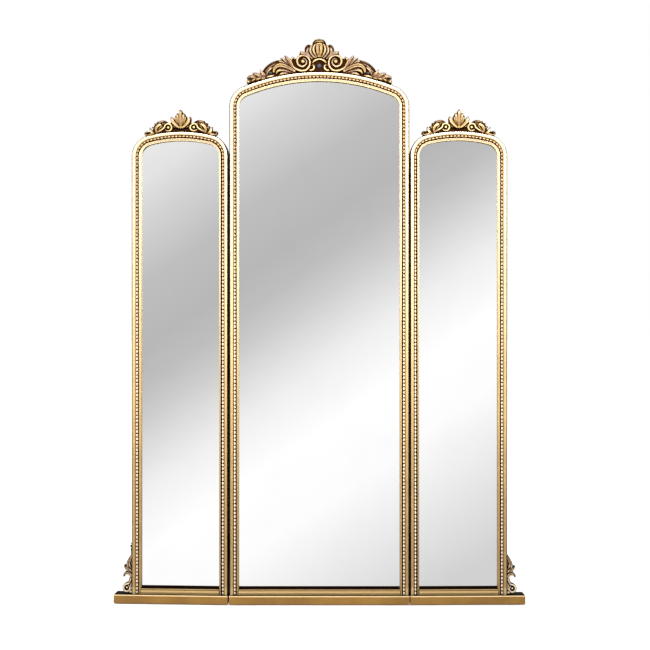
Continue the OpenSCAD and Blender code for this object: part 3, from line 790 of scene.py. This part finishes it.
def crest_acanthus(clay):
    """Long leaves that sweep out of the volute, under an arching stem."""
    for rows in (
            [(84, 4, 9, 3), (90, 20, 12, 5), (98, 34, 11, 7), (107, 44, 7, 8), (112, 49, 3, 8)],
            [(88, 4, 8, 3), (98, 20, 11, 5), (109, 32, 10, 6), (119, 40, 6, 7), (126, 41, 2, 7)],
            [(90, 2, 9, 3), (104, 15, 12, 5), (119, 26, 11, 6), (131, 32, 5, 6)],
            [(78, -1, 9, 4), (96, 8, 13, 6), (116, 16, 15, 8), (134, 16, 14, 8), (145, 7, 11, 6),
             (148, -5, 5, 4)],
            [(84, -4, 7, 3), (104, 1, 10, 5), (121, 4, 11, 5), (134, 0, 8, 5), (140, -8, 4, 3)],
            [(92, -7, 6, 3), (108, -6, 8, 4), (121, -8, 7, 4), (130, -14, 3, 3)]):
        clay.stem(rows, groove=0.17, count=50)
    # the dark stem that arches over them, and the thin gilt one under it
    clay.stem([(110, 30, 8, -1), (130, 31, 11, 0), (150, 25, 12, 0), (167, 14, 11, 0), (179, 0, 10, -1),
               (185, -15, 7, -1)], groove=0.15, count=70)
    clay.stem([(112, 26, 4, 3), (130, 27, 5, 4), (149, 20, 5, 4), (163, 10, 5, 4), (173, -2, 5, 3),
               (177, -15, 4, 2)])
    # the fronds round the dark cabochon under them, a cabochon of painted shade
    clay.stem([(136, 18, 5, 3), (149, 13, 6, 4), (161, 5, 7, 4), (169, -7, 6, 3), (171, -20, 5, 2)],
              groove=0.1)
    clay.stem([(173, -18, 9, 2), (181, -11, 12, 4), (188, -4, 9, 5), (191, 5, 3, 6)], groove=0.15)
    clay.stem([(146, -14, 5, 2), (156, -16, 7, 3), (168, -19, 7, 3), (178, -23, 5, 2)], groove=0.1)


def crest_end(clay):
    """The spray that ends the crest over the shoulder."""
    clay.leaf([(168, -20, 11, 2), (189, -21, 17, 4), (207, -23, 17, 4), (223, -30, 12, 3),
               (234, -40, 5, 1)], lobes=4)
    clay.stem([(182, -20, 9, 3), (196, -13, 12, 5), (208, -10, 10, 6), (216, -7, 3, 7)], groove=0.15)
    clay.stem([(200, -24, 9, 3), (215, -18, 12, 5), (227, -19, 9, 5), (234, -25, 4, 5)], groove=0.15)
    clay.knob(230, -34, 5.5, 3)


def centre_crest():
    """The large crest: a shell cartouche between two volutes, with acanthus sprays down both shoulders."""
    clay = Clay(CREST_FLOOR)
    for rows in ([(-4, 19, 50), (46, 22, 46)],
                 [(0, 34, 50), (0, 92, 30)],
                 [(24, 40, 34), (26, 84, 26)],
                 [(30, 26, 50), (72, 20, 46), (96, 12, 28)],
                 [(84, 10, 26), (120, 12, 32), (150, 2, 32), (184, -18, 18)],
                 [(96, 0, 16), (130, -6, 18), (164, -16, 18)],
                 [(176, -22, 18), (206, -26, 20), (230, -38, 12)]):
        clay.plate(rows, BED)
    crest_volute(clay)
    crest_cartouche(clay)
    crest_acanthus(clay)
    crest_end(clay)
    clay.flip(keep=True)
    arch_bed(clay, CENTRE, 226, 6)
    clay.leaf([(0, 44, 10, 8), (0, 56, 18, 11), (0, 72, 22, 12), (0, 90, 17, 10)],
              lobes=1, cut=0.05, skew=0.2, crown=0.14, vein=0.03)
    place = Vector((CREST_SHIFT["centre"], CENTRE.front + CREST_SET, CENTRE.top))
    carve(clay, CENTRE, "centre_carved_crest", "_crest", place, CENTRE_VOXEL)
    recess_shade_cabochons(CENTRE, "_crest_recess_shade", [(0, 18, 8, 8), (159, -5, 7, 5), (-159, -5, 7, 5)], place)


def palmette(clay):
    """The palmette's lobes on one side of its middle, and the broad grooved leaf beside them."""
    for rows in (
            [(2, 12, 6, 6), (9, 25, 11, 9), (12.5, 34, 12, 10), (14, 42, 11, 10), (15, 48, 5, 9)],
            [(1, 12, 6, 7), (6, 28, 10, 11), (8.5, 41, 11, 12), (9.5, 48, 10, 12), (11, 55, 5, 11)],
            [(4, 10, 7, 6), (14, 17, 11, 9), (23, 26, 13, 10), (28, 35, 11, 11), (31, 44, 3, 11)],
            [(10, 15, 6, 4), (18, 24, 9, 6), (24, 34, 8, 7), (27, 42, 3, 7)],
            [(14, 11, 7, 2), (23, 17, 11, 4), (33, 27, 4, 5)]):
        clay.stem(rows, groove=0.1, count=50)


def breaking_wave(clay):
    """A wave of fronds that curls over a dark cavity with a comb of teeth in it."""
    for rows in (
            [(85, -10, 7, 1), (89, 2, 8, 2), (86, 13, 8, 3), (79, 22, 8, 3), (68, 29, 8, 3), (57, 31, 7, 3),
             (48, 28, 6, 3), (41, 23, 4, 3)],
            [(78, -9, 8, 3), (81, 3, 9, 5), (78, 12, 10, 7), (71, 18, 9, 8), (64, 20, 5, 8)],
            [(71, -7, 8, 2), (72, 4, 8, 4), (68, 12, 7, 5), (62, 16, 3, 5)],
            [(64, -4, 6, 2), (65, 4, 6, 3), (60, 9, 3, 4)]):
        clay.stem(rows, groove=0.14, count=70)
    for x in (48.5, 54, 59.5):
        clay.stem([(x + 1, 26, 3.2, 5), (x, 21, 3, 4), (x - 1, 16, 2, 2)], count=16)
    # the spikes along its back, from root to tip
    for x0, z0, x1, z1 in ((86, 9, 95, 13), (80, 18, 87, 24), (71, 24, 77, 31)):
        clay.stem([(x0, z0, 9, 3), ((x0 + x1) / 2, (z0 + z1) / 2, 7, 3), (x1, z1, 3, 3)], count=16)


def wing_scrolls(clay):
    """The volute on its straight stem, and the small curl at the end of the crest."""
    clay.stem([(90, -9, 5, 3), (78, -4, 5, 5), (66, 2, 5, 6), (55, 10, 5, 6), (51, 19, 5, 6),
               (42, 22.5, 5, 6), (33, 18, 5, 6), (30.5, 9, 5, 6), (36, 1, 5, 5), (45, 0, 5, 4), (52, 5, 4, 3),
               (50, 13, 3, 2)], groove=0.12, count=90)
    clay.knob(42, 11, 4.6, 4, 0.9)
    clay.stem([(84, -11, 7, 2), (96, -11, 8, 4), (108, -14, 6, 3), (115, -12, 6, 3), (118, -7, 5, 3),
               (113, -3, 5, 3), (107, -4, 4, 2)], groove=0.12, count=50)
    clay.stem([(86, -11, 8, 3), (95, -5, 9, 5), (100, 3, 6, 5), (102, 12, 2, 5)], groove=0.15)
    clay.stem([(106, -12, 6, 3), (111, -15, 5, 3), (113, -18, 2, 2)], count=16)


def wing_crest(panel):
    """A wing's crest: a palmette between two volutes, under two breaking waves of acanthus."""
    clay = Clay(CREST_FLOOR)
    for rows in ([(0, 12, 30), (42, 12, 24), (84, 0, 18), (110, -9, 10)],
                 [(46, 16, 24), (64, 16, 26), (82, 6, 20)],
                 [(0, 10, 20), (10, 34, 18)],
                 [(102, -9, 12), (112, -9, 10)],
                 [(106, -8, 10), (114, -8, 10)]):
        clay.plate(rows, BED)
    palmette(clay)
    breaking_wave(clay)
    wing_scrolls(clay)
    clay.flip(keep=True)
    arch_bed(clay, panel, 112, 8)
    # the palmette's middle lobe
    clay.stem([(0, 10, 8, 7), (0, 28, 10, 12), (0, 46, 11, 13), (0, 57, 11, 13), (0, 63, 8, 12),
               (0, 67, 3, 11)], groove=0.12, count=50)
    clay.knob(0, 11.5, 4.8, 6)
    place = Vector((CREST_SHIFT[panel.name], panel.front + CREST_SET, panel.top))
    carve(clay, panel, panel.name + "_carved_crest", "_crest", place, WING_VOXEL)


def bracket_volute(clay):
    """The volute round its button, the stems behind it and its foot."""
    clay.stem([(2, 60, 7, 2), (6, 45, 9, 4), (11, 32, 8, 5), (20, 29, 7, 5), (28, 21.5, 7, 5),
               (27, 9.5, 7, 5), (18, 4.5, 8, 5), (9, 8.5, 8, 4), (8, 18, 6, 3), (13, 23.5, 5, 2)],
              groove=0.1, count=90)
    clay.knob(18, 16.5, 3.8, 2, 0.9)
    clay.stem([(0, 51.5, 5, 2), (4, 40.5, 6, 3), (7, 31, 5, 3)], count=24)
    clay.stem([(3, 38, 7, 2), (4, 26, 8, 3), (4, 12, 8, 3)], groove=0.15, count=24)
    clay.stem([(1, 4.5, 9, 3), (8, 3, 8, 4), (15, 2, 3, 3)], groove=0.1)


def bracket_leaves(clay):
    """The hooked leaves that climb the frame's side from the volute."""
    clay.stem([(1, 52.5, 10, 4), (9, 62, 13, 6), (18, 64, 12, 7), (25, 59, 8, 7), (27, 52.5, 3, 7)],
              groove=0.16)
    clay.stem([(2, 61, 8, 3), (10, 70.5, 10, 4), (17, 73, 4, 5)], groove=0.15)
    clay.stem([(1, 64, 11, 3), (9, 74, 15, 5), (17, 80, 13, 7), (23, 85.5, 6, 8), (25, 91, 2, 7)],
              groove=0.14)
    clay.stem([(2, 75, 12, 2), (10, 87.5, 16, 6), (11, 98.5, 14, 6), (7, 109, 12, 5), (2, 124, 5, 3)],
              groove=0.14)
    clay.stem([(0, 83.5, 8, 4), (3, 96.5, 9, 6), (1, 111.5, 7, 5)], groove=0.14)


def side_bracket(panel, side):
    """The scrolled leaf that stands on a wing's plinth against its outer side; side is -1 or 1."""
    clay = Clay(BRACKET_FLOOR)
    for rows in ([(4, -2, 9), (4, 64, 10), (2, 120, 5)],
                 [(8, 16, 26), (26, 16, 20)],
                 [(4, 53.5, 10), (14, 60, 12)],
                 [(4, 77, 14), (12, 85.5, 14)]):
        clay.plate(rows, BED)
    bracket_volute(clay)
    bracket_leaves(clay)
    if side < 0:
        # the left one climbs higher
        clay.leaf([(0, 111.5, 6, 1), (2, 130.5, 6, 2), (2, 145.5, 5, 2), (0, 171, 2, 1)], lobes=4)
        for x, z, radius in ((4, 141, 2.4), (5.5, 151, 2.6), (3, 160.5, 2)):
            clay.knob(x, z, radius, 1)
        clay.flip(keep=False)
    place = Vector((side * panel.half, panel.front + BRACKET_SET, panel.base + BRACKET_LIFT))
    carve(clay, panel, panel.name + "_scrolled_bracket", "_side_scroll", place, BRACKET_VOXEL)


# ---------------------------------------- CAD pieces

SMOOTH_BELOW, BEVEL_ABOVE = math.radians(32), math.radians(50)      # angles between faces


def dress(node, material, bevel):
    """Gives a CAD node its material, smooth shading and softened edges."""
    piece = frame["nodes"][node]
    piece.data.materials.clear()
    piece.data.materials.append(material)
    piece.data.shade_smooth()
    piece.data.set_sharp_from_angle(angle=SMOOTH_BELOW)
    if bevel:
        soften = piece.modifiers.new("softened", "BEVEL")
        soften.width = bevel
        soften.segments = 2
        soften.limit_method = "ANGLE"
        soften.angle_limit = BEVEL_ABOVE
        soften.harden_normals = True


def dress_nodes():
    """Dresses every CAD node that stays, by the end of its name."""
    gilt = {panel.name: gilt_material(panel) for panel in PANELS}
    plinth = {panel.name: plinth_material(panel) for panel in PANELS}
    mirror = {panel.name: mirror_material(panel) for panel in PANELS}
    for node in list(frame["nodes"]):
        name = node.split("_")[0]
        if node.endswith(("stile", "arch_rail", "bottom_rail")):
            dress(node, gilt[name], 0.0004)
        elif node.endswith("plinth"):
            dress(node, plinth[name], 0.0006)
        elif node.endswith("mirror_glass"):
            dress(node, mirror[name], 0)
        elif node.endswith("back_board"):
            dress(node, BOARD, 0.0005)
        elif node.endswith("foot_pads"):
            dress(node, FELT, 0)
        elif node.endswith(("glazing_points", "plinth_screws")):
            dress(node, STEEL, 0)
        elif node.endswith("_leaf"):
            dress(node, BRASS, 0.0003)
        elif node.endswith(("hinge_pins", "leaf_screws")):
            dress(node, BRASS, 0)


# ---------------------------------------- surroundings

# The camera is level, a little to the right of the middle, and this far in front of the frames
CAMERA_X, CAMERA_Z, CAMERA_AWAY = 0.0184, 0.9057, 3.4
SENSOR, SPAN = 36.0, 2.1047     # the picture spans this many metres at the frames' fronts

# The studio wall in front of the mirrors, as its grey seen in them, by slope of the line of sight
WALL = [(-0.33, 209), (-0.26, 228), (-0.17, 252), (-0.10, 255), (-0.037, 239), (-0.004, 223), (0.03, 205),
        (0.063, 190), (0.10, 183), (0.163, 190), (0.196, 202), (0.23, 213), (0.264, 227), (0.45, 255)]
WALL_LEAN = 0.69                # the shading rises by this much for one sideways
# The turned wings look further out to the sides, so the rise pauses between the panels' views:
# from one sideways slope to another, and by how much
WALL_PAUSES = [(-0.207, -0.083, 0.105), (0.077, 0.124, 0.035)]
WALL_SHIFT = WALL_PAUSES[0][2]  # keeps the centre panel's view where it is without the pauses
SILVER = 0.95                   # what the mirrors give back of it
NEAREST = 0.05                  # keeps the slopes finite beside and behind the mirrors
FLOOR_HALF = 60.0


def camera():
    """A level camera in front of the screen, at the photograph's viewing angle."""
    data = bpy.data.cameras.new("camera")
    data.sensor_width = SENSOR
    data.lens = SENSOR * CAMERA_AWAY / SPAN
    made = bpy.data.objects.new("camera", data)
    bpy.context.scene.collection.objects.link(made)
    made.location = (CAMERA_X, CENTRE.front - CAMERA_AWAY, CAMERA_Z)
    made.rotation_euler = (math.radians(90), 0, 0)
    bpy.context.scene.camera = made


def lamp(name, place, target, size, spread, watts):
    """A rectangular soft light that faces its target; spread is in degrees."""
    data = bpy.data.lights.new(name, "AREA")
    data.shape = "RECTANGLE"
    data.size, data.size_y = size
    data.spread = math.radians(spread)
    data.energy = watts
    made = bpy.data.objects.new(name, data)
    bpy.context.scene.collection.objects.link(made)
    made.location = place
    made.rotation_euler = (Vector(target) - Vector(place)).to_track_quat("-Z", "Y").to_euler()


def studio():
    """A white room, whose wall in front of the mirrors gives them back a broad slanting grey band.

    The camera itself sees the room as white.
    """
    world = bpy.data.worlds.new("studio")
    bpy.context.scene.world = world
    world.use_nodes = True
    s = Shader(world.node_tree)
    x, y, z = s.split(s.node("TexCoord").outputs["Generated"])
    away = s.math("MAXIMUM", s.times(y, -1.0), NEAREST)
    side, rise = s.math("DIVIDE", x, away), s.math("DIVIDE", z, away)
    level = s.add(side, WALL_SHIFT)
    for start, end, amount in WALL_PAUSES:
        level = s.minus(level, s.times(s.ramp(side, start, end), amount))
    tilt = s.minus(rise, s.times(level, WALL_LEAN))
    low, high = WALL[0][0], WALL[-1][0]
    span = s.node("MapRange", {"Value": tilt, "From Min": low, "From Max": high}).outputs[0]
    wall = s.node("ValToRGB", {0: span})
    stops = wall.color_ramp.elements
    for slope, _ in WALL[1:-1]:
        stops.new((slope - low) / (high - low))
    for stop, (_, grey) in zip(stops, WALL):
        value = linear(grey) / SILVER
        stop.color = (value, value, value, 1.0)
    shade = s.mix(s.ramp(y, -0.35, 0.1), wall.outputs[0], WHITE)
    shade = s.mix(s.node("LightPath").outputs["Is Camera Ray"], shade, WHITE)
    background = s.tree.nodes["Background"]
    s.join(shade, background.inputs[0])
    background.inputs[1].default_value = 1.0


def floor():
    """A pale matt floor, faintly mottled, that the mirrors don't show."""
    corners = [(x * FLOOR_HALF, y * FLOOR_HALF, 0) for x, y in ((-1, -1), (1, -1), (1, 1), (-1, 1))]
    made = new_object("floor", corners, [(0, 1, 2, 3)])
    s = Finish("pale_floor")
    grain = s.noise(s.place, 3, 3)
    s.bsdf.inputs["Emission Color"].default_value = WHITE
    s.bsdf.inputs["Emission Strength"].default_value = 0.22
    pale = s.mix(grain, (0.92, 0.92, 0.92, 1), (0.95, 0.95, 0.95, 1))
    made.data.materials.append(s.done(pale, 0.0, 0.8))
    made.visible_glossy = False


# ---------------------------------------- the scene

PEARL = bead_material()
# the centre crest sits nearest the lamp, so its colours high up are darker: painted shade
CENTRE_CARVED = carved_material("carved_gilt_painted_shade", rgb(82, 53, 15), rgb(138, 111, 60))
WING_CARVED = carved_material("carved_gilt", rgb(105, 77, 34), rgb(166, 141, 88))
CARVED = {"centre": CENTRE_CARVED, "left": WING_CARVED, "right": WING_CARVED}
RECESS_SHADE = recess_shade_material()
BOARD = board_material()
FELT = felt_material()
STEEL = metal_material("zinc_steel", rgb(196, 196, 200), rgb(140, 140, 146), 0.2)
BRASS = metal_material("antique_brass", rgb(178, 146, 88), rgb(134, 104, 60), 0.15)

dress_nodes()
for each in PANELS:
    beading(each)
centre_crest()
for wing, outer_side in ((LEFT, -1), (RIGHT, 1)):
    wing_crest(wing)
    side_bracket(wing, outer_side)
camera()
studio()
floor()
lamp("high_front", place=(0.25, -1.6, 2.35), target=(0.1, 0, 1.38), size=(1.9, 0.3), spread=57, watts=27)

scene = bpy.context.scene
scene.view_settings.view_transform = "Standard"
scene.view_settings.look = "None"
scene.view_settings.exposure = 0.0
